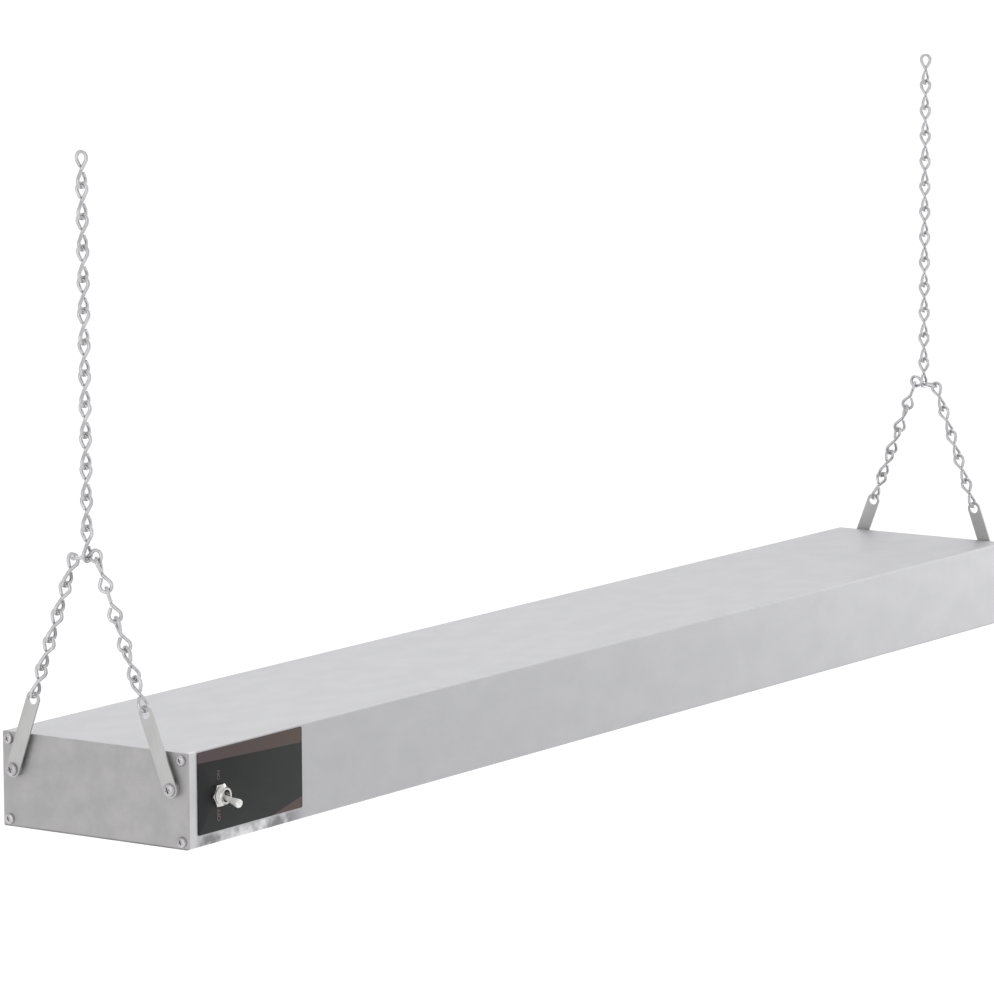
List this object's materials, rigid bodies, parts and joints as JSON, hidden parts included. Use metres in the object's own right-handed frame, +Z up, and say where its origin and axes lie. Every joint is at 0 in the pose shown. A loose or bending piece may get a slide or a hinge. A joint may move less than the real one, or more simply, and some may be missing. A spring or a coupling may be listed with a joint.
{
  "type": "hanging strip food warmer",
  "caption": "Long brushed aluminium infrared strip food warmer hung from jack chains, with a V bridle at each end and a toggle switch on a black control plate.",
  "frame": {"origin": "midway between the eyes of the two top chain links, at the height where the ceiling hooks bear", "axes": "+X along the heater from its control end to its far end, -Y out of the face with the control plate, +Z up"},
  "size_m": [1.0852, 0.1734, 0.4513],
  "materials": {
    "brushed_aluminium": "fine brushed, clear anodised",
    "brushed_steel_cap": "fine brushed",
    "polished_aluminium": "bright polished",
    "sheet_steel": "mill finish",
    "element_sheath": "dark oxidised alloy",
    "spring_steel": "plain",
    "ceramic": "glazed steatite",
    "terminal_pin": "nickel plated",
    "zinc_fastener": "zinc plated",
    "black_plate": "satin black overlay",
    "switch_moulding": "moulded phenolic",
    "nickel_plate": "nickel plated",
    "black_nylon": "moulded",
    "zinc_strap": "zinc plated",
    "zinc_chain": "bright zinc wire"
  },
  "bodies": {
    "ceiling_links": {"left_top_link": "zinc_chain", "right_top_link": "zinc_chain"},
    "left_swing": {"left_swing_link": "zinc_chain"},
    "left_sling": {"left_drop_chain": "zinc_chain", "left_middle_link": "zinc_chain", "left_front_bridle_leg": "zinc_chain", "left_back_bridle_leg": "zinc_chain"},
    "right_swing": {"right_swing_link": "zinc_chain"},
    "right_sling": {"right_drop_chain": "zinc_chain", "right_middle_link": "zinc_chain", "right_front_bridle_leg": "zinc_chain", "right_back_bridle_leg": "zinc_chain"},
    "lever": {"switch_lever": "nickel_plate"},
    "heater": {"housing": "brushed_aluminium", "reflector": "polished_aluminium", "heating_element": "element_sheath", "element_clips": "spring_steel", "bay_cover_screws": "zinc_fastener", "control_plate": "black_plate", "switch_body": "switch_moulding", "switch_bushing": "nickel_plate", "switch_nuts": "zinc_fastener", "cord_bushing": "black_nylon", "left_end_cap": "brushed_steel_cap", "left_cap_screws": "zinc_fastener", "left_bulkhead": "sheet_steel", "left_bay_cover": "sheet_steel", "left_element_seal": "ceramic", "left_element_pin": "terminal_pin", "left_element_insulator": "ceramic", "left_strap_spacers": "zinc_fastener", "left_pivot_screws": "zinc_fastener", "left_pivot_nuts": "zinc_fastener", "left_front_strap": "zinc_strap", "left_back_strap": "zinc_strap", "right_end_cap": "brushed_steel_cap", "right_cap_screws": "zinc_fastener", "right_bulkhead": "sheet_steel", "right_bay_cover": "sheet_steel", "right_element_seal": "ceramic", "right_element_pin": "terminal_pin", "right_element_insulator": "ceramic", "right_strap_spacers": "zinc_fastener", "right_pivot_screws": "zinc_fastener", "right_pivot_nuts": "zinc_fastener", "right_back_strap": "zinc_strap", "right_front_strap": "zinc_strap"}
  },
  "joints": [
    {"name": "left_fore_aft_swing", "type": "hinge", "parent": "ceiling_links", "child": "left_swing", "pos_m": [-0.53715, 0, -0.0218], "axis": [1, 0, 0], "range_deg": [-20, 20]},
    {"name": "right_fore_aft_swing", "type": "hinge", "parent": "ceiling_links", "child": "right_swing", "pos_m": [0.53715, 0, -0.0218], "axis": [1, 0, 0], "range_deg": [-20, 20]},
    {"name": "left_lengthwise_sway", "type": "hinge", "parent": "left_swing", "child": "left_sling", "pos_m": [-0.53715, 0, -0.0392], "axis": [0, 1, 0], "range_deg": [-12, 12]},
    {"name": "right_lengthwise_sway", "type": "hinge", "parent": "right_swing", "child": "right_sling", "pos_m": [0.53715, 0, -0.0392], "axis": [0, 1, 0], "range_deg": [-12, 12]},
    {"name": "heater_levelling", "type": "hinge", "parent": "left_sling", "child": "heater", "pos_m": [-0.53715, 0, -0.35795], "axis": [0, 1, 0], "range_deg": [-12, 12]},
    {"name": "power_switch", "type": "hinge", "parent": "heater", "child": "lever", "pos_m": [-0.5014, -0.0776, -0.41572], "axis": [-1, 0, 0], "range_deg": [0, 28]}
  ],
  "couplings": [
    {"joint": "right_fore_aft_swing", "follows": "left_fore_aft_swing", "ratio": 1},
    {"joint": "right_lengthwise_sway", "follows": "left_lengthwise_sway", "ratio": 1},
    {"joint": "heater_levelling", "follows": "left_lengthwise_sway", "ratio": -1}
  ]
}
